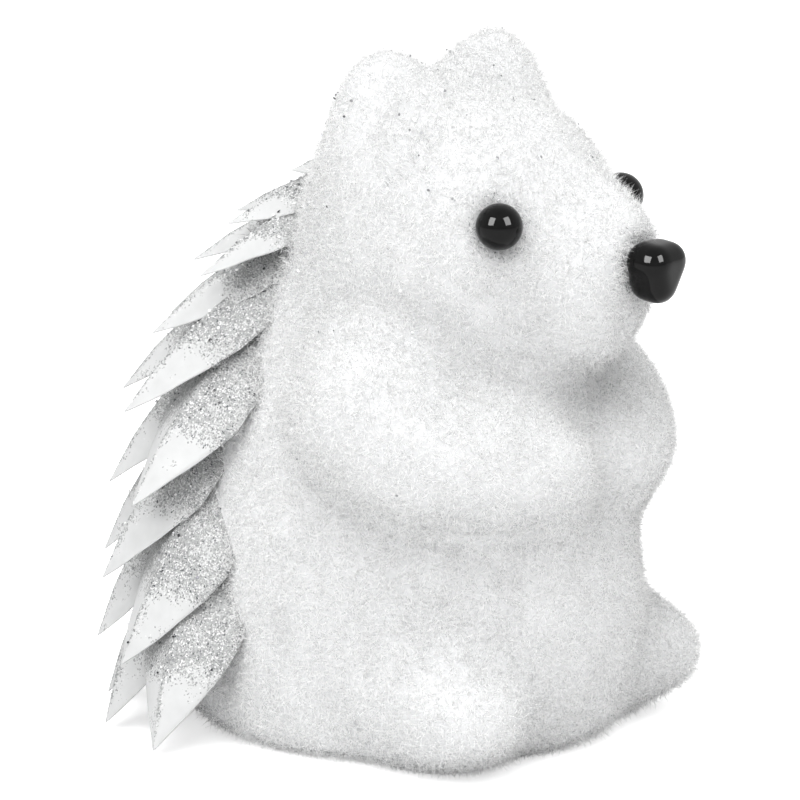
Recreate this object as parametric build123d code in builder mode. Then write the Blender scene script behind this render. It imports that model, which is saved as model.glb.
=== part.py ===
from build123d import *
from math import cos, degrees, radians, sin, tan
import os

# A flocked hedgehog that sits upright, with shingled film spines down its back
# It faces -Y, its left side is +X, and it stands on Z = 0
# The origin is on the flat underside, below the middle of the body
os.makedirs("parts", exist_ok=True)

# Body core: ellipses whose front and back reach differ
torso_height = 109
torso_half_width = 46
torso_front = 48
torso_back = 60
# height, half width, front and back shares of each section
torso_section_shares = (
    (0.0, 0.84, 0.76, 0.87),
    (0.03, 0.94, 0.87, 0.94),
    (0.16, 1.0, 0.98, 0.99),
    (0.37, 0.97, 0.98, 1.0),
    (0.55, 0.88, 0.88, 0.96),
    (0.73, 0.74, 0.74, 0.87),
    (0.87, 0.58, 0.54, 0.74),
    (0.96, 0.4, 0.34, 0.58),
    (1.0, 0.12, 0.02, 0.3),
)

# Head: ellipses along an axis that slopes down towards the nose
head_length = 81
head_half_width = 34
head_crown = 29.5
head_chin = 31.5
head_back = 26
head_rise = 8.5
head_slope = 8
# distance from the back, half width, crown and chin shares of each section
head_section_shares = (
    (0.0, 0.1, 0.1, 0.1),
    (0.02, 0.3, 0.33, 0.32),
    (0.06, 0.5, 0.56, 0.54),
    (0.16, 0.79, 0.84, 0.82),
    (0.37, 1.0, 1.0, 1.0),
    (0.55, 0.93, 0.98, 0.99),
    (0.73, 0.69, 0.74, 0.9),
    (0.87, 0.48, 0.54, 0.76),
    (0.95, 0.37, 0.44, 0.62),
    (0.985, 0.26, 0.34, 0.42),
    (1.0, 0.11, 0.2, 0.12),
)

# Ears: eggs sunk in the head beside its widest section
ear_half_width = 15.5
ear_half_depth = 11.5
ear_half_height = 20.5
ear_turn = 48
ear_sink = 5.7
ear_set_back = 3.8
ear_outward_tilt = 8

# Arms: round sections along a curve from the shoulder to the paw
arm_radius = 13.5
# places across, forward and up as shares of the torso's half width, front and height
arm_place_shares = (
    (0.52, 0.04, 0.8),
    (0.78, 0.38, 0.64),
    (0.48, 0.71, 0.59),
    (0.13, 0.9, 0.55),
)
arm_station_shares = (0.0, 0.05, 0.15, 0.3, 0.5, 0.7, 0.83, 0.93, 0.98, 1.0)
arm_radius_shares = (0.3, 0.75, 1.1, 1.15, 1.05, 0.98, 0.88, 0.7, 0.42, 0.12)

# Feet, with their place as shares of the torso's half width and front
foot_half_width = 16
foot_half_length = 22
foot_half_height = 13
foot_raise = 1
foot_splay = 24
foot_place_shares = (0.68, 0.52)

# Eyes: beads on pins, sunk in round seats
eye_radius = 5
eye_turn = 24
eye_stand_out = 2.2
eye_pin_radius = 0.8
eye_pin_length = 14
bead_clearance = 0.1

# Nose: a rounded triangular bead on a pin
nose_half_width = 6.6
nose_half_height = 6.6
nose_depth = 10
nose_lobe_radius = 4.3
nose_edge_round = 3.8
nose_stand_out = 3.1
nose_lift = 0.7
nose_pin_radius = 0.8
nose_pin_length = 16

# Neck peg, half in the torso and half in the head
peg_radius = 3
peg_in_torso = 33
peg_in_head = 13
peg_back = 4
peg_clearance = 0.15

# Spines: pointed scoops of film in rows round an upright axis behind the body's middle
spine_axis_back = 15
spine_length = 40
spine_thickness = 0.7
spine_length_curl = 110
spine_width_curl = 18
spine_overlap = 0.2
# each scoop is rolled about its length, so that it lies over one neighbour and under the other
spine_roll = 10
# tip's reach and height and scoop's length, as shares of the torso's reach, its height and spine_length
spine_row_shares = (
    (0.41, 1.1, 0.5),
    (0.7, 1.01, 0.65),
    (0.87, 0.92, 0.82),
    (1.06, 0.79, 0.85),
    (1.23, 0.65, 0.95),
    (1.27, 0.48, 0.95),
    (1.32, 0.31, 0.95),
    (1.32, 0.16, 0.95),
    (1.31, 0.01, 1.0),
)
spine_row_leans = (68, 60, 54, 47, 38, 28, 21, 17, 14)
spine_row_counts = (2, 4, 5, 4, 5, 6, 5, 6, 7)
spine_row_half_fans = (18, 45, 56, 42, 52, 62, 50, 62, 74)
# distance from the tip and half width of a scoop, as shares of its length and of its room
scoop_outline_shares = ((0.2, 0.6), (0.5, 1.0), (1.0, 0.8))

# Overrun that carries a cutting solid past the face it cuts
cut_overrun = 1


def egg(half_width, half_depth, half_height):
    with BuildPart() as solid:
        Sphere(1)
        scale(by=(half_width, half_depth, half_height))
    return solid.part


def finish(piece, name):
    piece.part.label = name
    export_step(piece.part, f"parts/{name}.step")


def finish_pair(piece, name):
    """Write a left piece, then its mirror image"""
    finish(piece, f"{name}_left")
    with BuildPart() as twin:
        mirror(piece.part, about=Plane.YZ)
    finish(twin, f"{name}_right")


# Neck peg and the bore for it
peg_length = peg_in_torso + peg_in_head
peg_place = Location((0, peg_back, torso_height - peg_in_torso))
with BuildPart() as neck_peg:
    with Locations(peg_place):
        Cylinder(peg_radius, peg_length, align=(Align.CENTER, Align.CENTER, Align.MIN))
    fillet(neck_peg.edges().filter_by(GeomType.CIRCLE), peg_radius / 4)
finish(neck_peg, "neck_peg")

with BuildPart() as peg_bore:
    with Locations(peg_place):
        Cylinder(
            peg_radius + peg_clearance,
            peg_length + peg_clearance,
            align=(Align.CENTER, Align.CENTER, Align.MIN),
        )

# Torso
with BuildPart() as torso:
    for height_share, width_share, front_share, back_share in torso_section_shares:
        front = front_share * torso_front
        back = back_share * torso_back
        with BuildSketch(Plane.XY.offset(height_share * torso_height)):
            with Locations((0, (back - front) / 2)):
                Ellipse(width_share * torso_half_width, (back + front) / 2)
    loft()
    add(peg_bore.part, mode=Mode.SUBTRACT)
finish(torso, "torso")

# Head, its axis and the places on its surface
head_start = Vector(0, head_back, torso_height + head_rise)
head_direction = Vector(0, -1, 0).rotate(Axis.X, head_slope)
head_up = Vector(0, 0, 1).rotate(Axis.X, head_slope)


def head_place(section, turn):
    """The left side's surface point at a section, turned up from the side, and its outward direction"""
    station_share, width_share, crown_share, chin_share = section
    crown = crown_share * head_crown
    chin = chin_share * head_chin
    center = head_start + head_direction * station_share * head_length + head_up * ((crown - chin) / 2)
    across = Vector(1, 0, 0) * (width_share * head_half_width * cos(radians(turn)))
    above = head_up * ((crown + chin) / 2 * sin(radians(turn)))
    return center + across + above, (across + above).normalized()


eye_surface, eye_outward = head_place(head_section_shares[6], eye_turn)
eye_plane = Plane(eye_surface + eye_outward * eye_stand_out, z_dir=eye_outward)
ear_surface, ear_outward = head_place(head_section_shares[4], ear_turn)
ear_center = ear_surface - ear_outward * ear_sink - head_direction * ear_set_back
nose_center = head_start + head_direction * (head_length + nose_stand_out) + head_up * nose_lift
nose_plane = Plane(nose_center, x_dir=(1, 0, 0), z_dir=head_direction)


def pin(plane, radius, length):
    with BuildPart() as rod:
        with Locations(plane):
            Cylinder(radius, length, align=(Align.CENTER, Align.CENTER, Align.MAX))
    return rod.part


def nose_bead(growth):
    across = nose_half_width - nose_lobe_radius
    above = nose_half_height - nose_lobe_radius
    with BuildPart() as bead:
        with BuildSketch(nose_plane):
            with Locations((-across, above), (across, above), (0, -above)):
                Circle(nose_lobe_radius + growth)
            make_hull()
        extrude(amount=nose_depth / 2 + growth, both=True)
        fillet(bead.edges(), nose_edge_round)
    return bead.part


with BuildPart() as eye_seats:
    with Locations(eye_plane):
        Sphere(eye_radius + bead_clearance)
    add(pin(eye_plane, eye_pin_radius + bead_clearance, eye_pin_length + bead_clearance))
    mirror(about=Plane.YZ)

with BuildPart() as head:
    for station_share, width_share, crown_share, chin_share in head_section_shares:
        crown = crown_share * head_crown
        chin = chin_share * head_chin
        with BuildSketch(
            Plane(
                head_start + head_direction * station_share * head_length,
                x_dir=(1, 0, 0),
                z_dir=head_direction,
            )
        ):
            with Locations((0, (crown - chin) / 2)):
                Ellipse(width_share * head_half_width, (crown + chin) / 2)
    loft()
    add(torso.part, mode=Mode.SUBTRACT)
    add(peg_bore.part, mode=Mode.SUBTRACT)
    add(nose_bead(bead_clearance), mode=Mode.SUBTRACT)
    add(
        pin(nose_plane, nose_pin_radius + bead_clearance, nose_pin_length + bead_clearance),
        mode=Mode.SUBTRACT,
    )
    add(eye_seats.part, mode=Mode.SUBTRACT)
finish(head, "head")

# Beads and their pins
with BuildPart() as eye_pin:
    add(pin(eye_plane, eye_pin_radius, eye_pin_length))
finish_pair(eye_pin, "eye_pin")

with BuildPart() as eye:
    with Locations(eye_plane):
        Sphere(eye_radius)
    add(eye_pin.part, mode=Mode.SUBTRACT)
finish_pair(eye, "eye")

with BuildPart() as nose_pin:
    add(pin(nose_plane, nose_pin_radius, nose_pin_length))
finish(nose_pin, "nose_pin")

with BuildPart() as nose:
    add(nose_bead(0))
    add(nose_pin.part, mode=Mode.SUBTRACT)
finish(nose, "nose")

# Ears
with BuildPart() as ear:
    with Locations(Location(ear_center, (0, ear_outward_tilt, 0))):
        add(egg(ear_half_width, ear_half_depth, ear_half_height))
    add(head.part, mode=Mode.SUBTRACT)
finish_pair(ear, "ear")

# Arms
with BuildLine() as arm_line:
    arm_curve = Spline(
        [
            (
                across_share * torso_half_width,
                -forward_share * torso_front,
                height_share * torso_height,
            )
            for across_share, forward_share, height_share in arm_place_shares
        ]
    )

with BuildPart() as arm:
    for station, radius_share in zip(arm_station_shares, arm_radius_shares):
        with BuildSketch(Plane(arm_curve @ station, x_dir=(0, 0, 1), z_dir=arm_curve % station)):
            Circle(radius_share * arm_radius)
    loft()
    add(torso.part, mode=Mode.SUBTRACT)
    add(head.part, mode=Mode.SUBTRACT)
finish_pair(arm, "arm")

# Feet
foot_spread_share, foot_forward_share = foot_place_shares
foot_place = Location(
    (
        foot_spread_share * torso_half_width,
        -foot_forward_share * torso_front,
        foot_half_height + foot_raise,
    ),
    (0, 0, foot_splay),
)
with BuildPart() as foot:
    with Locations(foot_place):
        add(egg(foot_half_width, foot_half_length, foot_half_height))
    add(torso.part, mode=Mode.SUBTRACT)
finish_pair(foot, "foot")


def spine_scoop(tip_radius, lean, length, half_step):
    """A scoop with its tip at the origin, its root towards -Y and its outer face towards +Z"""

    def half_room(along_share):
        along = along_share * length
        radius = tip_radius - along * sin(radians(lean) + along / spine_length_curl / 2)
        return radius * tan(radians(half_step)) + spine_overlap

    points = [
        (width_share * half_room(along_share), -along_share * length)
        for along_share, width_share in scoop_outline_shares
    ]
    with BuildPart() as scoop:
        with BuildSketch(Plane.XZ):
            with Locations((0, -spine_width_curl)):
                Circle(spine_width_curl)
                Circle(spine_width_curl - spine_thickness, mode=Mode.SUBTRACT)
            Rectangle(
                2 * spine_width_curl,
                spine_width_curl,
                align=(Align.CENTER, Align.MAX),
                mode=Mode.INTERSECT,
            )
        revolve(
            axis=Axis((0, 0, -spine_length_curl), (1, 0, 0)),
            revolution_arc=degrees((length + cut_overrun) / spine_length_curl),
        )
        with BuildSketch(Plane.XY.offset(-spine_length_curl)):
            with BuildLine():
                Spline((0, 0), *points)
                Line(points[-1], (0, -length))
                mirror(about=Plane.YZ)
            make_face()
        extrude(amount=spine_length_curl + cut_overrun, mode=Mode.INTERSECT)
    return scoop.part


# Spines, each seated on the core that it grows from
side_reach = torso_half_width
back_reach = torso_back - spine_axis_back
spine_rows = zip(spine_row_shares, spine_row_leans, spine_row_counts, spine_row_half_fans)
for row, (shares, lean, count, half_fan) in enumerate(spine_rows, 1):
    reach_share, height_share, length_share = shares
    half_step = half_fan / (count - 1)
    tip_radius = reach_share * (side_reach + back_reach) / 2
    scoop = spine_scoop(tip_radius, lean, length_share * spine_length, half_step)
    for place in range(count):
        bearing = half_step * (2 * place - (count - 1))
        outward = Vector(sin(radians(bearing)), cos(radians(bearing)), 0)
        pointing = outward * sin(radians(lean)) - Vector(0, 0, 1) * cos(radians(lean))
        facing = outward * cos(radians(lean)) + Vector(0, 0, 1) * sin(radians(lean))
        tip = Vector(
            outward.X * side_reach * reach_share,
            outward.Y * back_reach * reach_share + spine_axis_back,
            height_share * torso_height,
        )
        tip_plane = Plane(tip, x_dir=pointing.cross(facing), z_dir=facing)
        with BuildPart() as spine:
            with Locations(tip_plane):
                add(scoop, rotation=(0, -spine_roll, 0))
            add(torso.part, mode=Mode.SUBTRACT)
            add(head.part, mode=Mode.SUBTRACT)
        finish(spine, f"spine_row_{row}_{place + 1}")
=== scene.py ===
import math
import bpy
import numpy as np
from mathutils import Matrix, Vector, noise
from mathutils.bvhtree import BVHTree


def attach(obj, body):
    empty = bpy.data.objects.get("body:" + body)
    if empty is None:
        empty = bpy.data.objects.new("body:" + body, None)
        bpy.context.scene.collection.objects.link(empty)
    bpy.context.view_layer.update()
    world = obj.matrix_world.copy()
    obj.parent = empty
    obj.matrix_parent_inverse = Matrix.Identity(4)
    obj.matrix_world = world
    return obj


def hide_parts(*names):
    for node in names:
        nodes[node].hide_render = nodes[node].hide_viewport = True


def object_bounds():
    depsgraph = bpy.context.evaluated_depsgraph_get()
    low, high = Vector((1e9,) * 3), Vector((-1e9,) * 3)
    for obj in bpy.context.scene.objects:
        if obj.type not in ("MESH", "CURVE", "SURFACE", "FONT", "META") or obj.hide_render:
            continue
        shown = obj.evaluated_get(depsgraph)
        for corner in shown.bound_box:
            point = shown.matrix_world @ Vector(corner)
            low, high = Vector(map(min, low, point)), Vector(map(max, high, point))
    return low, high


# A white flocked hedgehog ornament with film spines, glitter and black beads

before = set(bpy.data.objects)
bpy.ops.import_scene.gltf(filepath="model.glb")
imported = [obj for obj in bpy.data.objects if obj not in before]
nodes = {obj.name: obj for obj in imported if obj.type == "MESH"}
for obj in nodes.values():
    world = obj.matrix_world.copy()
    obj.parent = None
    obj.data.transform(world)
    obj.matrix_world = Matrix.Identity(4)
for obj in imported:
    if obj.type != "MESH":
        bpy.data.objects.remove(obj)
cad_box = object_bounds()
scene = bpy.context.scene
rng = np.random.default_rng(7)

MM = 0.001
COATED = ("torso", "head", "ear_left", "ear_right", "arm_left", "arm_right", "foot_left", "foot_right")
BEADS = ("eye_left", "eye_right", "nose")
SPINES = sorted(name for name in nodes if name.startswith("spine_row_"))
SPINE_AXIS_BACK = 15 * MM
SMOOTH_FACTOR = 0.5

# Coat, with lumps of two sizes, the finer ones FINE_LUMPS times smaller and lower
COAT_VOXEL = 1.2 * MM
COAT_SMOOTHING = 10
COAT_DEPTH = 0.9 * MM
LUMP = 0.5 * MM
LUMP_SIZE = 14 * MM
FINE_LUMPS = 3
BLEND_STEPS = 5
BLEND_TOLERANCE = 0.02 * MM
BLEND_ROUNDING = 0.25
# Width of the soft round between two kinds of piece
FILLETS = {
    ("head", "torso"): 13 * MM,
    ("ear", "head"): 10 * MM,
    ("arm", "torso"): 11 * MM,
    ("arm", "head"): 8 * MM,
    ("arm", "arm"): 6 * MM,
    ("foot", "torso"): 10 * MM,
}

# One soft skin lies over all coats; what is deeper than SKIN_GRIP stays below it
SKIN_VOXEL = 1.2 * MM
SKIN_SMOOTHING = 20
SKIN_GRIP = 1 * MM
SKIN_RELEASE = 4.5 * MM

# Flock, thinner behind BACK_START of the depth; tilts are degrees away from upright
FIBRES_PER_MM2 = 3.4
BACK_SHARE = 0.4
BACK_START = 0.35
FIBRE_LENGTH = (1.8 * MM, 3.4 * MM)
FIBRE_WIDTH = (0.065 * MM, 0.1 * MM)
LYING_SHARE = 0.78
LYING_TILT = (56, 85)
STANDING_TILT = (5, 56)
CRISP_SHARE = 0.7
CRISP_RISE = 0.35 * MM
CRISP_FINISH = 2
FIBRE_SEAT = (-0.1 * MM, 0.4 * MM)
FIBRE_START = 0.4 * MM
FIBRE_FLOOR_GAP = 0.05 * MM
BEAD_CLEARANCE = 0.25 * MM
FIBRES_IN_PIECE = 48000
STEEP = 0.9
NEEDLE_CORNERS = tuple(math.radians(angle) for angle in (30, 150, 270))
NEEDLE_FACES = ((0, 1, 3), (1, 2, 3), (2, 0, 3), (0, 2, 1))

# Fibres over the petals' roots, from these shares of the petal's length and half width on
FRINGE_LENGTH = (1.6 * MM, 3.6 * MM)
FRINGE_PER_PETAL = 700
FRINGE_SPREAD = 0.7 * MM
FRINGE_TILT = 0.7
FRINGE_ROOT_START = 0.82
FRINGE_SIDE_START = 0.5
FRINGE_SIDE_EDGE = 0.85

# Fibres round the beads
LASHES_PER_MM2 = 16
LASH_SEARCH = 11 * MM
LASH_REACH = 0.9 * MM
LASH_LENGTH = (0.9 * MM, 2 * MM)
LASH_SPREAD = 0.5
LASH_SHADED_SHARE = 0.5

# Beads
BEAD_VOXEL = 0.25 * MM
EYE_SMOOTHING = 12
NOSE_SMOOTHING = 70

# Petals of film, one per spine
PETAL_ROWS = 30
PETAL_COLUMNS = 20
PETAL_ROW_CROWDING = 1.25
PETAL_WIDEN = 1.12
PETAL_WIDTH_SPREAD = (0.95, 1.05)
PETAL_SKEW = 0.1
PETAL_ROOT_DEPTH = 6 * MM
PETAL_ROOT_ZONE = 0.8
PETAL_TIP_PULL = 0.5
PETAL_THICKNESS = 0.22 * MM
PETAL_FLOOR_GAP = 0.1 * MM
PETAL_CURL = 110 * MM
PETAL_WIDEST_SHARE = 0.58
PETAL_TAPER_POWER = 1.35
PETAL_TIP_HALF = 0.1 * MM
RIDGE_LIFT = 1.1 * MM
RIDGE_WIDTH_SHARE = 0.16
RIDGE_GROWTH = 4
CUP_SHARE = 0.4
CUP_POWER = 1.6
RIM_WAVE = 0.35 * MM
RIM_RIPPLE = RIM_WAVE / 3
WAVE_ALONG = 8
WAVE_ACROSS = 2
WAVE_GROWTH = 3
RIPPLE_ALONG = 27
TIP_HOOK = 1.2 * MM
TIP_HOOK_POWER = 3

# Fine glitter starts after the plain tip and also follows the ridge
PLAIN_TIP_SHARE = (0.26, 0.42)
GLITTER_GROWTH = 6
RIDGE_GLITTER = 0.8
RIDGE_GLITTER_FALL = 9

# Glitter flakes; those on the coat gather high up and at the back
FLAKE_RADIUS = (0.2 * MM, 0.42 * MM)
FLAKE_THICKNESS = 0.04 * MM
FLAKE_SIDES = 6
FLAKE_STEP = math.pi / 3
FLAKE_FLOOR_GAP = 0.5 * MM
FLAKES_PER_PETAL = 45
FLAKE_SCATTER_ON_PETAL = 0.1 * MM
FLAKE_LIFT_ON_PETAL = 0.15 * MM
FLAKE_TILT_ON_PETAL = 0.35
FLAKES_ON_COAT = {"head": 260, "ear_left": 60, "ear_right": 60, "torso": 110, "arm_right": 20, "arm_left": 14}
FLAKE_TRIES = 4
FLAKE_BACK_PULL = 0.5
FLAKE_SCATTER_ON_COAT = 18 * MM
FLAKE_LIFT_ON_COAT_MM = (0.8, 1.8)
FLAKE_TILT_ON_COAT = 0.5

# Textures, bumps as strength and height, and gloss
COAT_CLOUDS = {"Scale": 70, "Detail": 5}
COAT_THREADS = {"Scale": 2200, "Detail": 3, "Distortion": 1.6}
COAT_BUMP = (0.2, 0.15 * MM)
# The coat's grey, darker than the fibres, is painted shade of the fibres over it; its cloudy change is random
# tone
COAT_TONES_WITH_PAINTED_SHADE = ((0.3, (0.7, 0.705, 0.712)), (0.65, (0.76, 0.764, 0.77)))
COAT_GLOSS = {"Roughness": 0.85, "Specular IOR Level": 0.1}
FIBRE_GLOSS = {"Roughness": 0.6, "Specular IOR Level": 0}
FILM_CELLS = {"Scale": 3400}
FILM_CLOUDS = {"Scale": 220, "Detail": 4}
FILM_BUMP = (0.45, 0.12 * MM)
FILM_TONES = ((0.3, (0.56, 0.565, 0.565)), (0.7, (0.62, 0.625, 0.625)))
FILM_GLOSS = {"Roughness": 0.45, "Specular IOR Level": 0.08}
SPARKLE_TONES = (
    (0.0, (0.08, 0.085, 0.09)),
    (0.03, (0.25, 0.255, 0.255)),
    (0.2, (0.34, 0.345, 0.345)),
    (0.5, (0.42, 0.425, 0.425)),
    (0.84, (0.7, 0.7, 0.7)),
)
PATCH_SPAN = 1.6
PATCH_START = -0.9
BEAD_HAZE = {"Scale": 900, "Detail": 4}
BEAD_BUMP = (0.03, 0.02 * MM)
BEAD_TONES = ((0.3, (0.001, 0.001, 0.001)), (0.8, (0.004, 0.004, 0.004)))
BEAD_GLOSS = {"Roughness": 0.05, "Specular IOR Level": 0.15}
GRAIN_STRETCH = (1, 1, 0.08)
GRAIN_BUMP = (0.3, 0.05 * MM)
STEEL_TONES = ((0.3, (0.45, 0.45, 0.46)), (0.7, (0.62, 0.62, 0.63)))
STEEL_GRAIN = {"Scale": 3000, "Detail": 5}
STEEL_GLOSS = {"Roughness": 0.3, "Metallic": 1}
WOOD_TONES = ((0.3, (0.55, 0.4, 0.25)), (0.7, (0.76, 0.62, 0.44)))
WOOD_GRAIN = {"Scale": 900, "Detail": 5}
WOOD_GLOSS = {"Roughness": 0.6, "Metallic": 0}
FLOOR_COLOUR = (0.9, 0.9, 0.9, 1)
FLOOR_ROUGHNESS = 0.9

# Fibre finishes: name, colour and alpha
FLOCK_FINISHES = (
    ("white_fibre", (0.9, 0.904, 0.908), 0.4),
    ("bright_fibre", (0.95, 0.95, 0.95), 0.4),
    ("crisp_fibre", (0.97, 0.97, 0.97), 1),
)
LASH_FINISHES = (
    ("lash_fibre", (0.95, 0.95, 0.95), 1),
    ("shaded_fibre", (0.3, 0.3, 0.31), 0.6),
)
FRINGE_FINISH = ("fringe_fibre", (0.94, 0.942, 0.945), 0.7)

# Flake finishes: name, from and to which share of all flakes, colour, metallic and roughness
FLAKE_FINISHES = (
    ("glitter_silver", 0, 0.5, (0.24, 0.245, 0.25), 1, 0.35),
    ("glitter_white", 0.5, 0.9, (0.95, 0.95, 0.95), 0, 0.2),
    ("glitter_dark", 0.9, 1, (0.06, 0.06, 0.065), 1, 0.35),
)

# Lamps: name, azimuth, elevation, distance, size, power, and whether it only shows in gloss
FLOOR_HALF = 3
FLOOR_GLOW = 0.5
WORLD_LIGHT = 0.48
SOFT_SIZE = (1.7, 1.7)
WINDOW_SIZE = (0.42, 0.56)
LAMPS = (
    ("key", -72, 58, 1.4, SOFT_SIZE, 27, False),
    ("fill", 105, 38, 1.4, SOFT_SIZE, 6, False),
    ("left_window", -96, 34, 0.9, WINDOW_SIZE, 20, True),
    ("right_window", -9, 34, 0.9, WINDOW_SIZE, 17, True),
)

# Camera, with the focal length in pixels of the photo's width
TARGET = Vector((0, 0.008, 0.071))
CAMERA_AZIMUTH = -55
CAMERA_ELEVATION = 12
CAMERA_DISTANCE = 1.2
PHOTO_WIDTH = 800
PIXEL_FOCAL = 5505
SENSOR = 36


# Meshes
def new_object(name, vertices, faces, smooth=True):
    mesh = bpy.data.meshes.new(name)
    mesh.from_pydata([tuple(v) for v in vertices], [], [tuple(f) for f in faces])
    mesh.update()
    if smooth:
        mesh.shade_smooth()
    piece = bpy.data.objects.new(name, mesh)
    scene.collection.objects.link(piece)
    return piece


def remeshed(piece, voxel, smoothing):
    """Give the piece an even mesh with softened edges"""
    remesh = piece.modifiers.new("remesh", "REMESH")
    remesh.mode = "VOXEL"
    remesh.voxel_size = voxel
    smooth = piece.modifiers.new("smooth", "SMOOTH")
    smooth.factor = SMOOTH_FACTOR
    smooth.iterations = smoothing
    graph = bpy.context.evaluated_depsgraph_get()
    mesh = bpy.data.meshes.new_from_object(piece.evaluated_get(graph))
    piece.modifiers.clear()
    piece.data = mesh
    return mesh


def vertex_array(mesh):
    values = np.empty(len(mesh.vertices) * 3)
    mesh.vertices.foreach_get("co", values)
    return values.reshape(-1, 3)


def normal_array(mesh):
    values = np.empty(len(mesh.vertices) * 3)
    mesh.vertex_normals.foreach_get("vector", values)
    return values.reshape(-1, 3)


def triangle_array(mesh):
    mesh.calc_loop_triangles()
    values = np.empty(len(mesh.loop_triangles) * 3, dtype=np.int32)
    mesh.loop_triangles.foreach_get("vertices", values)
    return values.reshape(-1, 3)


def double_areas(corners):
    """Twice the area of each triangle"""
    return np.linalg.norm(np.cross(corners[:, 1] - corners[:, 0], corners[:, 2] - corners[:, 0]), axis=1)


def unit(vectors):
    return vectors / np.linalg.norm(vectors, axis=1, keepdims=True)


def tree_of(mesh):
    return BVHTree.FromPolygons(
        [v.co for v in mesh.vertices], [tuple(t) for t in triangle_array(mesh)], all_triangles=True
    )


def signed_distance(tree, point):
    near, normal, _, distance = tree.find_nearest(point)
    return distance if (point - near).dot(normal) > 0 else -distance


# Materials
def material(name):
    made = bpy.data.materials.new(name)
    made.use_nodes = True
    tree = made.node_tree
    return made, tree, tree.nodes["Principled BSDF"]


def set_inputs(shader, values):
    for key, value in values.items():
        shader.inputs[key].default_value = value


def add_node(tree, kind, **values):
    node = tree.nodes.new(kind)
    for key, value in values.items():
        if key in node.inputs:
            node.inputs[key].default_value = value
        else:
            setattr(node, key, value)
    return node


def texture(tree, kind, values):
    """A texture that is fixed to the object"""
    place = add_node(tree, "ShaderNodeTexCoord")
    node = add_node(tree, kind, **values)
    tree.links.new(place.outputs["Object"], node.inputs["Vector"])
    return node


def ramp(tree, source, stops):
    node = add_node(tree, "ShaderNodeValToRGB")
    while len(node.color_ramp.elements) < len(stops):
        node.color_ramp.elements.new(1)
    for element, (position, colour) in zip(node.color_ramp.elements, stops):
        element.position = position
        element.color = (*colour, 1)
    tree.links.new(source, node.inputs["Fac"])
    return node


def bump(tree, shader, source, strength, distance):
    node = add_node(tree, "ShaderNodeBump")
    node.inputs["Strength"].default_value = strength
    node.inputs["Distance"].default_value = distance
    tree.links.new(source, node.inputs["Height"])
    tree.links.new(node.outputs["Normal"], shader.inputs["Normal"])


def coat_material():
    """The felted layer below the fibres: pale, cloudy and criss-crossed, and greyer than the fibres as
    painted shade from them
    """
    made, tree, shader = material("white_flock_coat")
    clouds = texture(tree, "ShaderNodeTexNoise", COAT_CLOUDS)
    threads = texture(tree, "ShaderNodeTexNoise", COAT_THREADS)
    tone = ramp(tree, clouds.outputs["Fac"], COAT_TONES_WITH_PAINTED_SHADE)
    tree.links.new(tone.outputs["Color"], shader.inputs["Base Color"])
    bump(tree, shader, threads.outputs["Fac"], *COAT_BUMP)
    set_inputs(shader, COAT_GLOSS)
    return made


def fibre_material(name, colour, alpha):
    made, _, shader = material(name)
    set_inputs(shader, {"Base Color": (*colour, 1), "Alpha": alpha, **FIBRE_GLOSS})
    return made


def film_material():
    """White film, sprinkled with fine glitter where the sprinkle attribute says"""
    made, tree, shader = material("spine_film")
    cells = texture(tree, "ShaderNodeTexVoronoi", FILM_CELLS)
    clouds = texture(tree, "ShaderNodeTexNoise", FILM_CLOUDS)
    split = add_node(tree, "ShaderNodeSeparateColor")
    tree.links.new(cells.outputs["Color"], split.inputs["Color"])
    sparkle = ramp(tree, split.outputs["Red"], SPARKLE_TONES)
    sparkle.color_ramp.interpolation = "CONSTANT"
    film = ramp(tree, clouds.outputs["Fac"], FILM_TONES)
    amount = add_node(tree, "ShaderNodeAttribute", attribute_name="sprinkle")
    patchy = add_node(tree, "ShaderNodeMath", operation="MULTIPLY_ADD")
    tree.links.new(clouds.outputs["Fac"], patchy.inputs[0])
    patchy.inputs[1].default_value = PATCH_SPAN
    patchy.inputs[2].default_value = PATCH_START
    total = add_node(tree, "ShaderNodeMath", operation="ADD")
    tree.links.new(amount.outputs["Fac"], total.inputs[0])
    tree.links.new(patchy.outputs["Value"], total.inputs[1])
    dusted = add_node(tree, "ShaderNodeMath", operation="GREATER_THAN")
    tree.links.new(total.outputs["Value"], dusted.inputs[0])
    tree.links.new(split.outputs["Blue"], dusted.inputs[1])
    # The colour sockets of a Mix node are its inputs 6 and 7 and its output 2
    mixed = add_node(tree, "ShaderNodeMix", data_type="RGBA")
    tree.links.new(dusted.outputs["Value"], mixed.inputs[0])
    tree.links.new(film.outputs["Color"], mixed.inputs[6])
    tree.links.new(sparkle.outputs["Color"], mixed.inputs[7])
    tree.links.new(mixed.outputs[2], shader.inputs["Base Color"])
    height = add_node(tree, "ShaderNodeMath", operation="MULTIPLY")
    tree.links.new(split.outputs["Green"], height.inputs[0])
    tree.links.new(dusted.outputs["Value"], height.inputs[1])
    bump(tree, shader, height.outputs["Value"], *FILM_BUMP)
    set_inputs(shader, FILM_GLOSS)
    return made


def bead_material():
    """Polished black bead with faint polishing haze"""
    made, tree, shader = material("black_bead")
    haze = texture(tree, "ShaderNodeTexNoise", BEAD_HAZE)
    tone = ramp(tree, haze.outputs["Fac"], BEAD_TONES)
    tree.links.new(tone.outputs["Color"], shader.inputs["Base Color"])
    bump(tree, shader, haze.outputs["Fac"], *BEAD_BUMP)
    set_inputs(shader, BEAD_GLOSS)
    return made


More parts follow.
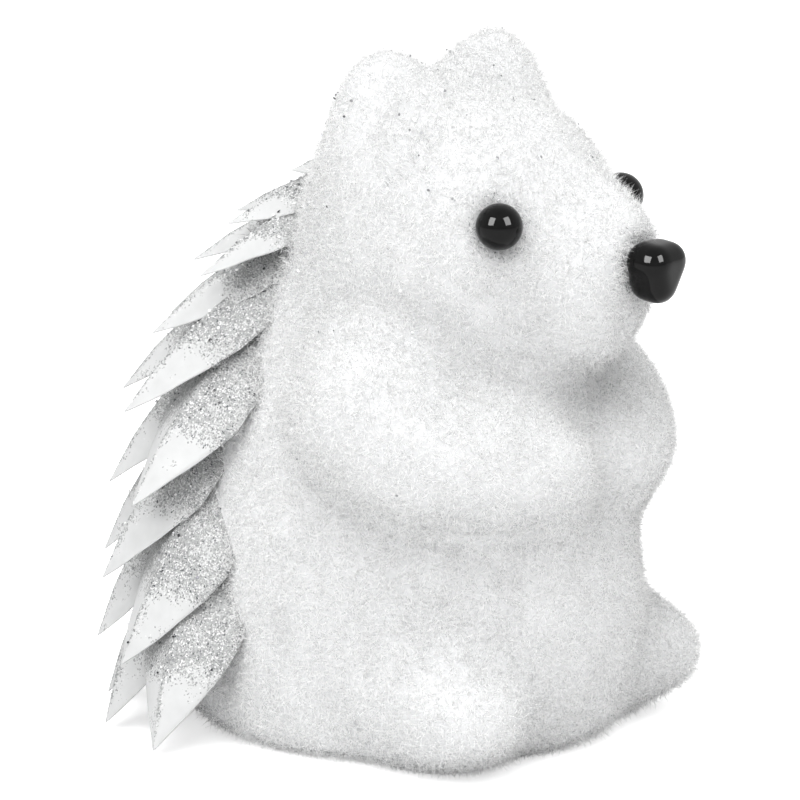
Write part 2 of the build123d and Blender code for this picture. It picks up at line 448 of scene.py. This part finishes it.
def grained_material(name, tones, grains, gloss):
    """Wood or drawn steel: streaks along Z"""
    made, tree, shader = material(name)
    place = add_node(tree, "ShaderNodeTexCoord")
    stretch = add_node(tree, "ShaderNodeMapping")
    stretch.inputs["Scale"].default_value = GRAIN_STRETCH
    grain = add_node(tree, "ShaderNodeTexNoise", **grains)
    tree.links.new(place.outputs["Object"], stretch.inputs["Vector"])
    tree.links.new(stretch.outputs["Vector"], grain.inputs["Vector"])
    tone = ramp(tree, grain.outputs["Fac"], tones)
    tree.links.new(tone.outputs["Color"], shader.inputs["Base Color"])
    bump(tree, shader, grain.outputs["Fac"], *GRAIN_BUMP)
    set_inputs(shader, gloss)
    return made


def flake_material(name, colour, metallic, roughness):
    made, _, shader = material(name)
    set_inputs(shader, {"Base Color": (*colour, 1), "Metallic": metallic, "Roughness": roughness})
    return made


# Coat pieces: each flocked node, remeshed and blended softly into its neighbours
def soft_neighbours(name, trees):
    found = []
    for other, tree in trees.items():
        kinds = tuple(sorted((name.split("_")[0], other.split("_")[0])))
        if other != name and kinds in FILLETS:
            found.append((tree, FILLETS[kinds]))
    return found


def blend(at, normal, neighbours):
    """How far out a surface point moves, so that its coat runs smoothly into the neighbours'"""
    move = 0
    for _ in range(BLEND_STEPS):
        here = at + normal * move
        field = move
        for tree, width in neighbours:
            gap = tree.find_nearest(here, width + move)[3]
            if gap is not None:
                share = max(width - abs(field - gap), 0) / width
                field = min(field, gap) - share * share * width * BLEND_ROUNDING
        if field > -BLEND_TOLERANCE:
            break
        move -= field
    return move


def lump_height(at):
    coarse = noise.noise(at / LUMP_SIZE) * LUMP
    return coarse + noise.noise(at / (LUMP_SIZE / FINE_LUMPS)) * LUMP / FINE_LUMPS


def coat_pieces():
    """The coats, laid on their common skin, and that skin"""
    trees = {name: tree_of(nodes[name].data) for name in COATED}
    finish = coat_material()
    pieces = {}
    for name in COATED:
        piece = bpy.data.objects.new(f"{name}_coat", nodes[name].data.copy())
        scene.collection.objects.link(piece)
        mesh = remeshed(piece, COAT_VOXEL, COAT_SMOOTHING)
        points = vertex_array(mesh)
        normals = normal_array(mesh)
        neighbours = soft_neighbours(name, trees)
        moves = np.empty(len(points))
        for index, (point, normal) in enumerate(zip(points, normals)):
            at = Vector(point)
            moves[index] = blend(at, Vector(normal), neighbours) - COAT_DEPTH + lump_height(at)
        points += normals * moves[:, None]
        mesh.vertices.foreach_set("co", points.ravel())
        mesh.update()
        mesh.shade_smooth()
        mesh.materials.clear()
        mesh.materials.append(finish)
        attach(piece, "root")
        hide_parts(name)
        pieces[name] = piece
    skin = skin_mesh(pieces.values())
    skin_tree = tree_of(skin)
    for piece in pieces.values():
        lay_on(piece.data, skin_tree)
    return pieces, skin


def skin_mesh(pieces):
    """The outside of all coats together, smoothed over their creases"""
    points, triangles = [], []
    count = 0
    for piece in pieces:
        points.append(vertex_array(piece.data))
        triangles.append(triangle_array(piece.data) + count)
        count += len(points[-1])
    skin = new_object("skin", np.concatenate(points), np.concatenate(triangles))
    mesh = remeshed(skin, SKIN_VOXEL, SKIN_SMOOTHING)
    bpy.data.objects.remove(skin)
    return mesh


def lay_on(mesh, skin):
    """Lay a coat's visible part on the skin, and let its hidden part dive below it"""
    points = vertex_array(mesh)
    for index, point in enumerate(points):
        near, normal, _, distance = skin.find_nearest(Vector(point))
        depth = distance if (near - Vector(point)).dot(normal) > 0 else 0
        dive = min(max(depth - SKIN_GRIP, 0) / (SKIN_RELEASE - SKIN_GRIP), 1)
        points[index] = near.lerp(Vector(point), dive) if depth else near
    points[:, 2] = np.maximum(points[:, 2], 0)
    mesh.vertices.foreach_set("co", points.ravel())
    mesh.update()


# Flock
def surface_samples(mesh, count):
    """Random points on a mesh, with smooth normals and the corners of their triangles"""
    points, normals, triangles = vertex_array(mesh), normal_array(mesh), triangle_array(mesh)
    corners = points[triangles]
    areas = double_areas(corners) / 2
    picked = rng.choice(len(triangles), size=count, p=areas / areas.sum())
    first, second = rng.random(count), rng.random(count)
    over = first + second > 1
    first[over], second[over] = 1 - first[over], 1 - second[over]
    weights = np.stack([1 - first - second, first, second], axis=1)[:, :, None]
    at = (corners[picked] * weights).sum(axis=1)
    normal = (normals[triangles[picked]] * weights).sum(axis=1)
    return at, unit(normal), triangles[picked]


def samples_at(mesh, per_mm2):
    area = double_areas(vertex_array(mesh)[triangle_array(mesh)]).sum() / 2
    return surface_samples(mesh, int(area / MM**2 * per_mm2))


def across(directions):
    """Two unit vectors square to each direction"""
    helper = np.where(np.abs(directions[:, 2:3]) < STEEP, (0.0, 0.0, 1.0), (1.0, 0.0, 0.0))
    first = unit(np.cross(directions, helper))
    return first, np.cross(directions, first)


def fibre_mesh(name, roots, directions, outward, lengths, widths, finishes, kinds):
    """Closed needles, one per root, each with a flat side outward"""
    count = len(roots)
    first = unit(np.cross(outward, directions))
    second = np.cross(directions, first)
    corners = np.empty((count, 4, 3))
    for corner, angle in enumerate(NEEDLE_CORNERS):
        corners[:, corner] = roots + widths[:, None] * (math.cos(angle) * first + math.sin(angle) * second)
    corners[:, 3] = roots + directions * lengths[:, None]
    corners[:, :, 2] = np.maximum(corners[:, :, 2], FIBRE_FLOOR_GAP)
    loops = (np.array(NEEDLE_FACES)[None] + 4 * np.arange(count)[:, None, None]).ravel()
    mesh = bpy.data.meshes.new(name)
    mesh.vertices.add(count * 4)
    mesh.vertices.foreach_set("co", corners.ravel())
    mesh.loops.add(len(loops))
    mesh.loops.foreach_set("vertex_index", loops.astype(np.int32))
    mesh.polygons.add(count * 4)
    mesh.polygons.foreach_set("loop_start", np.arange(0, count * 12, 3, dtype=np.int32))
    for finish in finishes:
        mesh.materials.append(finish)
    mesh.polygons.foreach_set("material_index", np.repeat(kinds, 4).astype(np.int32))
    mesh.update()
    piece = bpy.data.objects.new(name, mesh)
    piece.visible_shadow = False
    scene.collection.objects.link(piece)
    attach(piece, "root")


def distances(tree, points):
    return np.array([signed_distance(tree, Vector(point)) for point in points])


def owners(points, coats):
    """The place in the list of coats of the one that each point lies on"""
    trees = [tree_of(piece.data) for piece in coats.values()]
    gaps = [[tree.find_nearest(Vector(point))[3] for point in points] for tree in trees]
    return np.argmin(gaps, axis=0)


def flock(coats, skin):
    """Criss-crossing fibres all over the skin, most of them lying over, some standing"""
    finishes = [fibre_material(*finish) for finish in FLOCK_FINISHES]
    roots, normals, triangles = samples_at(skin, FIBRES_PER_MM2)
    owner = owners(vertex_array(skin), coats)[triangles[:, 0]]
    keep = (roots[:, 1] < BACK_START * cad_box[1][1]) | (rng.random(len(roots)) < BACK_SHARE)
    keep &= roots[:, 2] > FIBRE_START
    for bead in BEADS:
        keep[keep] = distances(tree_of(nodes[bead].data), roots[keep]) > BEAD_CLEARANCE
    roots, normals, owner = roots[keep], normals[keep], owner[keep]
    count = len(roots)
    first, second = across(normals)
    turn = rng.random(count) * 2 * math.pi
    lying, standing = rng.uniform(*LYING_TILT, count), rng.uniform(*STANDING_TILT, count)
    tilt = np.radians(np.where(rng.random(count) < LYING_SHARE, lying, standing))
    crisp = rng.random(count) < CRISP_SHARE
    kinds = np.where(crisp, CRISP_FINISH, rng.integers(0, CRISP_FINISH, count))
    flat = np.cos(turn)[:, None] * first + np.sin(turn)[:, None] * second
    directions = np.cos(tilt)[:, None] * normals + np.sin(tilt)[:, None] * flat
    lengths = rng.uniform(*FIBRE_LENGTH, count)
    widths = rng.uniform(*FIBRE_WIDTH, count)
    roots += normals * (rng.uniform(*FIBRE_SEAT, count) + crisp * CRISP_RISE)[:, None]
    for place, name in enumerate(coats):
        mine = np.flatnonzero(owner == place)
        for part, start in enumerate(range(0, len(mine), FIBRES_IN_PIECE), 1):
            some = mine[start : start + FIBRES_IN_PIECE]
            fibre_mesh(
                f"{name}_flock_{part}",
                roots[some],
                directions[some],
                normals[some],
                lengths[some],
                widths[some],
                finishes,
                kinds[some],
            )


def bead_fringe(skin):
    """White and shaded fibres that stand close round the beads and over their edges"""
    finishes = [fibre_material(*finish) for finish in LASH_FINISHES]
    at, normals, _ = samples_at(skin, LASHES_PER_MM2)
    for bead in BEADS:
        centre = vertex_array(nodes[bead].data).mean(axis=0)
        near = np.flatnonzero(np.linalg.norm(at - centre, axis=1) < LASH_SEARCH)
        gaps = distances(tree_of(nodes[bead].data), at[near])
        reach = rng.exponential(LASH_REACH, len(near))
        picked = near[(gaps > BEAD_CLEARANCE) & (gaps < reach)]
        directions = unit(normals[picked] + rng.normal(0, LASH_SPREAD, (len(picked), 3)))
        fibre_mesh(
            f"{bead}_fringe",
            at[picked],
            directions,
            normals[picked],
            rng.uniform(*LASH_LENGTH, len(picked)),
            rng.uniform(*FIBRE_WIDTH, len(picked)),
            finishes,
            (rng.random(len(picked)) < LASH_SHADED_SHARE).astype(int),
        )


# Beads
def bead_pieces():
    finish = bead_material()
    for name in BEADS:
        piece = bpy.data.objects.new(f"{name}_bead", nodes[name].data.copy())
        scene.collection.objects.link(piece)
        remeshed(piece, BEAD_VOXEL, NOSE_SMOOTHING if name == "nose" else EYE_SMOOTHING)
        piece.data.shade_smooth()
        piece.data.materials.clear()
        piece.data.materials.append(finish)
        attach(piece, "root")
        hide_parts(name)


# Spines: each scoop gets a pointed petal with a folded ridge, a waved rim and a thin edge
def petal_frame(name):
    """The tip, root, width direction, facing and half width of a spine node"""
    mesh = nodes[name].data
    points = vertex_array(mesh)
    corners = points[triangle_array(mesh)]
    centres = corners.mean(axis=1)
    areas = double_areas(corners)
    middle = np.average(centres, axis=0, weights=areas)
    outward = np.array((middle[0], middle[1] - SPINE_AXIS_BACK, 0))
    outward /= np.linalg.norm(outward)
    tip = points[np.argmax((points - middle) @ (outward * PETAL_TIP_PULL - np.array((0, 0, 1))))]
    reach = np.linalg.norm(centres - tip, axis=1)
    last = reach > reach.max() * PETAL_ROOT_ZONE
    root = np.average(centres[last], axis=0, weights=areas[last])
    along = (tip - root) / np.linalg.norm(tip - root)
    level = np.cross((0, 0, 1), outward)
    spread = (centres - middle) * np.sqrt(areas)[:, None]
    spread -= (spread @ along)[:, None] * along
    sideways = np.linalg.svd(spread, full_matrices=False)[2][0]
    sideways *= np.sign(sideways @ level)
    facing = np.cross(along, sideways)
    facing *= np.sign(facing @ (outward + np.array((0, 0, 1)))) / np.linalg.norm(facing)
    half = np.abs((points - middle) @ sideways).max()
    length = ((tip - points) @ along).max()
    return tip, tip - along * (length + PETAL_ROOT_DEPTH), sideways, facing, half


def petal_surface(name):
    """Outer points of one petal, row by row from its tip, and how much glitter each holds"""
    tip, root, sideways, facing, half = petal_frame(name)
    length = np.linalg.norm(tip - root)
    half *= PETAL_WIDEN * rng.uniform(*PETAL_WIDTH_SPREAD)
    skew = rng.uniform(-PETAL_SKEW, PETAL_SKEW) * half
    wave_phase, ripple_phase = rng.uniform(0, 2 * math.pi, 2)
    plain = rng.uniform(*PLAIN_TIP_SHARE)
    outer, glitter = [], []
    for row in range(PETAL_ROWS + 1):
        down = (row / PETAL_ROWS) ** PETAL_ROW_CROWDING
        taper = max(1 - down / PETAL_WIDEST_SHARE, 0)
        wide = half * (1 - taper**PETAL_TAPER_POWER) + PETAL_TIP_HALF
        centre = tip + (root - tip) * down
        bow = down * (1 - down) * length**2 / 2 / PETAL_CURL + TIP_HOOK * taper**TIP_HOOK_POWER
        for column in range(PETAL_COLUMNS + 1):
            side = column / PETAL_COLUMNS * 2 - 1
            fold = RIDGE_LIFT * math.exp(-abs(side) / RIDGE_WIDTH_SHARE) * min(down * RIDGE_GROWTH, 1)
            cup = -(abs(side) ** CUP_POWER) * wide * CUP_SHARE
            wave = RIM_WAVE * math.sin(wave_phase + down * WAVE_ALONG + side * WAVE_ACROSS) * abs(side)
            wave += RIM_RIPPLE * math.sin(ripple_phase + down * RIPPLE_ALONG) * side
            outer.append(
                centre
                + sideways * (side * wide + skew * math.sin(down * math.pi))
                + facing * (bow + fold + cup + wave * min(down * WAVE_GROWTH, 1))
            )
            on_ridge = RIDGE_GLITTER * math.exp(-abs(side) * RIDGE_GLITTER_FALL)
            glitter.append(min(max((down - plain) * GLITTER_GROWTH, 0), 1) + on_ridge)
    return np.array(outer), facing, glitter


def petal_faces(shift):
    """Both skins of a petal and the rim that joins them"""
    width = PETAL_COLUMNS + 1
    faces = []
    for row in range(PETAL_ROWS):
        for column in range(PETAL_COLUMNS):
            a = row * width + column
            quad = (a, a + 1, a + width + 1, a + width)
            faces += [quad, tuple(shift + k for k in reversed(quad))]
    rim = list(range(width))
    rim += [row * width + PETAL_COLUMNS for row in range(1, PETAL_ROWS + 1)]
    rim += [PETAL_ROWS * width + column for column in range(PETAL_COLUMNS - 1, -1, -1)]
    rim += [row * width for row in range(PETAL_ROWS - 1, 0, -1)]
    faces += [(b, a, shift + a, shift + b) for a, b in zip(rim, rim[1:] + rim[:1])]
    return faces


def spine_pieces():
    """Make the petals; give back their outer points, facings and glitter"""
    finish = film_material()
    surfaces = []
    for name in SPINES:
        outer, facing, glitter = petal_surface(name)
        points = np.concatenate([outer, outer - facing * PETAL_THICKNESS])
        points[:, 2] = np.maximum(points[:, 2], PETAL_FLOOR_GAP)
        piece = new_object(f"{name}_film", points, petal_faces(len(outer)))
        sprinkle = piece.data.attributes.new("sprinkle", "FLOAT", "POINT")
        sprinkle.data.foreach_set("value", np.array(glitter + glitter, dtype=np.float32))
        piece.data.materials.append(finish)
        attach(piece, "root")
        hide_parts(name)
        surfaces.append((outer, facing, np.array(glitter)))
    return surfaces


def root_fringe(surfaces):
    """Flock fibres that stand over the petals' roots"""
    finish = fibre_material(*FRINGE_FINISH)
    roots, directions, facings = [], [], []
    row, column = np.divmod(np.arange((PETAL_ROWS + 1) * (PETAL_COLUMNS + 1)), PETAL_COLUMNS + 1)
    side = np.abs(column / PETAL_COLUMNS * 2 - 1)
    edge = (row > PETAL_ROWS * FRINGE_SIDE_START) & (side > FRINGE_SIDE_EDGE)
    fringed = np.flatnonzero((row > PETAL_ROWS * FRINGE_ROOT_START) | edge)
    for outer, facing, _ in surfaces:
        picked = rng.choice(fringed, FRINGE_PER_PETAL)
        roots.append(outer[picked])
        directions.append(facing + rng.normal(0, FRINGE_TILT, (FRINGE_PER_PETAL, 3)))
        facings.append(np.repeat(facing[None], FRINGE_PER_PETAL, axis=0))
    roots, directions, facings = (np.concatenate(part) for part in (roots, directions, facings))
    lengths = rng.uniform(*FRINGE_LENGTH, len(roots))
    widths = rng.uniform(*FIBRE_WIDTH, len(roots))
    roots += rng.normal(0, FRINGE_SPREAD, roots.shape)
    kinds = np.zeros(len(roots))
    fibre_mesh("root_fringe", roots, unit(directions), facings, lengths, widths, [finish], kinds)


# Glitter: small six-sided plates on the petals and caught in the flock
def flake_mesh(name, places, normals, finish):
    points, faces = [], []
    for place, normal in zip(places, normals):
        first, second = (axis[0] for axis in across(normal[None]))
        radius = rng.uniform(*FLAKE_RADIUS)
        turn = rng.uniform(0, math.pi)
        bottom = [len(points) + k for k in range(FLAKE_SIDES)]
        top = [k + FLAKE_SIDES for k in bottom]
        for level in (0, FLAKE_THICKNESS):
            for corner in range(FLAKE_SIDES):
                angle = turn + corner * FLAKE_STEP
                arm = math.cos(angle) * first + math.sin(angle) * second
                points.append(place + normal * level + radius * arm)
        faces += [bottom[::-1], top]
        for k in range(FLAKE_SIDES):
            after = (k + 1) % FLAKE_SIDES
            faces.append((bottom[k], bottom[after], top[after], top[k]))
    piece = new_object(name, points, faces, smooth=False)
    piece.data.materials.append(finish)
    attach(piece, "root")


def flakes_on_petal(outer, facing, glitter):
    chance = glitter**2 / (glitter**2).sum()
    picked = rng.choice(len(outer), FLAKES_PER_PETAL, p=chance)
    scatter = rng.normal(0, FLAKE_SCATTER_ON_PETAL, (FLAKES_PER_PETAL, 3))
    places = outer[picked] + scatter + facing * FLAKE_LIFT_ON_PETAL
    return places, facing + rng.normal(0, FLAKE_TILT_ON_PETAL, (FLAKES_PER_PETAL, 3))


def flakes_on_coat(mesh, count):
    at, normal, _ = surface_samples(mesh, count * FLAKE_TRIES)
    rank = at[:, 2] + at[:, 1] * FLAKE_BACK_PULL + rng.normal(0, FLAKE_SCATTER_ON_COAT, len(at))
    order = np.argsort(-rank)[:count]
    places = at[order] + normal[order] * rng.uniform(*FLAKE_LIFT_ON_COAT_MM, count)[:, None] * MM
    return places, normal[order] + rng.normal(0, FLAKE_TILT_ON_COAT, (count, 3))


def glitter_pieces(coats, surfaces):
    parts = [flakes_on_petal(*surface) for surface in surfaces]
    parts += [flakes_on_coat(coats[name].data, count) for name, count in FLAKES_ON_COAT.items()]
    places, normals = (np.concatenate(part) for part in zip(*parts))
    places[:, 2] = np.maximum(places[:, 2], FLAKE_FLOOR_GAP)
    normals = unit(normals)
    kinds = rng.random(len(places))
    for name, low, high, *finish in FLAKE_FINISHES:
        some = (kinds >= low) & (kinds < high)
        flake_mesh(name, places[some], normals[some], flake_material(name, *finish))


# Floor, light and camera
def background_rays(tree):
    """1 for the rays that see the plain background, 0 for those that light the object"""
    seen = add_node(tree, "ShaderNodeLightPath")
    value = seen.outputs["Is Camera Ray"]
    for ray in ("Is Transmission Ray", "Is Glossy Ray"):
        either = add_node(tree, "ShaderNodeMath", operation="MAXIMUM")
        tree.links.new(value, either.inputs[0])
        tree.links.new(seen.outputs[ray], either.inputs[1])
        value = either.outputs["Value"]
    return value


def stage():
    corners = ((-1, -1), (1, -1), (1, 1), (-1, 1))
    floor = new_object(
        "floor", [(x * FLOOR_HALF, y * FLOOR_HALF, 0) for x, y in corners], [(0, 1, 2, 3)], smooth=False
    )
    made, tree, shader = material("pale_floor")
    shader.inputs["Base Color"].default_value = FLOOR_COLOUR
    shader.inputs["Roughness"].default_value = FLOOR_ROUGHNESS
    glow = add_node(tree, "ShaderNodeEmission", Strength=FLOOR_GLOW)
    none = add_node(tree, "ShaderNodeEmission", Strength=0)
    pick = add_node(tree, "ShaderNodeMixShader")
    total = add_node(tree, "ShaderNodeAddShader")
    tree.links.new(background_rays(tree), pick.inputs["Fac"])
    tree.links.new(none.outputs["Emission"], pick.inputs[1])
    tree.links.new(glow.outputs["Emission"], pick.inputs[2])
    tree.links.new(shader.outputs["BSDF"], total.inputs[0])
    tree.links.new(pick.outputs["Shader"], total.inputs[1])
    tree.links.new(total.outputs["Shader"], tree.nodes["Material Output"].inputs["Surface"])
    floor.data.materials.append(made)


def world_light():
    world = bpy.data.worlds.new("soft_room")
    scene.world = world
    world.use_nodes = True
    tree = world.node_tree
    background = tree.nodes["Background"]
    background.inputs["Color"].default_value = (1, 1, 1, 1)
    level = add_node(tree, "ShaderNodeMapRange")
    tree.links.new(background_rays(tree), level.inputs["Value"])
    level.inputs["To Min"].default_value = WORLD_LIGHT
    level.inputs["To Max"].default_value = 1
    tree.links.new(level.outputs["Result"], background.inputs["Strength"])


def aimed(name, data, azimuth, elevation, distance):
    """An object that looks at the target from the given side"""
    holder = bpy.data.objects.new(name, data)
    a, e = math.radians(azimuth), math.radians(elevation)
    away = Vector((math.sin(a) * math.cos(e), -math.cos(a) * math.cos(e), math.sin(e)))
    holder.location = TARGET + away * distance
    holder.rotation_euler = away.to_track_quat("Z", "Y").to_euler()
    scene.collection.objects.link(holder)
    return holder


def lamp(name, azimuth, elevation, distance, size, power, reflected):
    """An area lamp that either lights the object softly or only shows as a window in its gloss"""
    light = bpy.data.lights.new(name, "AREA")
    light.shape = "RECTANGLE"
    light.size, light.size_y = size
    light.energy = power
    holder = aimed(name, light, azimuth, elevation, distance)
    holder.visible_glossy = reflected
    holder.visible_diffuse = not reflected


def camera():
    data = bpy.data.cameras.new("photo_camera")
    data.sensor_width = SENSOR
    data.lens = PIXEL_FOCAL / PHOTO_WIDTH * SENSOR
    scene.camera = aimed("photo_camera", data, CAMERA_AZIMUTH, CAMERA_ELEVATION, CAMERA_DISTANCE)


def hidden_pieces():
    """Steel pins and a wooden peg, which keep their own meshes"""
    steel = grained_material("pin_steel", STEEL_TONES, STEEL_GRAIN, STEEL_GLOSS)
    wood = grained_material("peg_wood", WOOD_TONES, WOOD_GRAIN, WOOD_GLOSS)
    finishes = {"eye_pin_left": steel, "eye_pin_right": steel, "nose_pin": steel, "neck_peg": wood}
    for name, finish in finishes.items():
        nodes[name].data.materials.clear()
        nodes[name].data.materials.append(finish)


camera()
coats, skin = coat_pieces()
flock(coats, skin)
bead_fringe(skin)
bead_pieces()
petals = spine_pieces()
root_fringe(petals)
glitter_pieces(coats, petals)
hidden_pieces()
stage()
world_light()
for values in LAMPS:
    lamp(*values)
scene.view_settings.view_transform = "Standard"
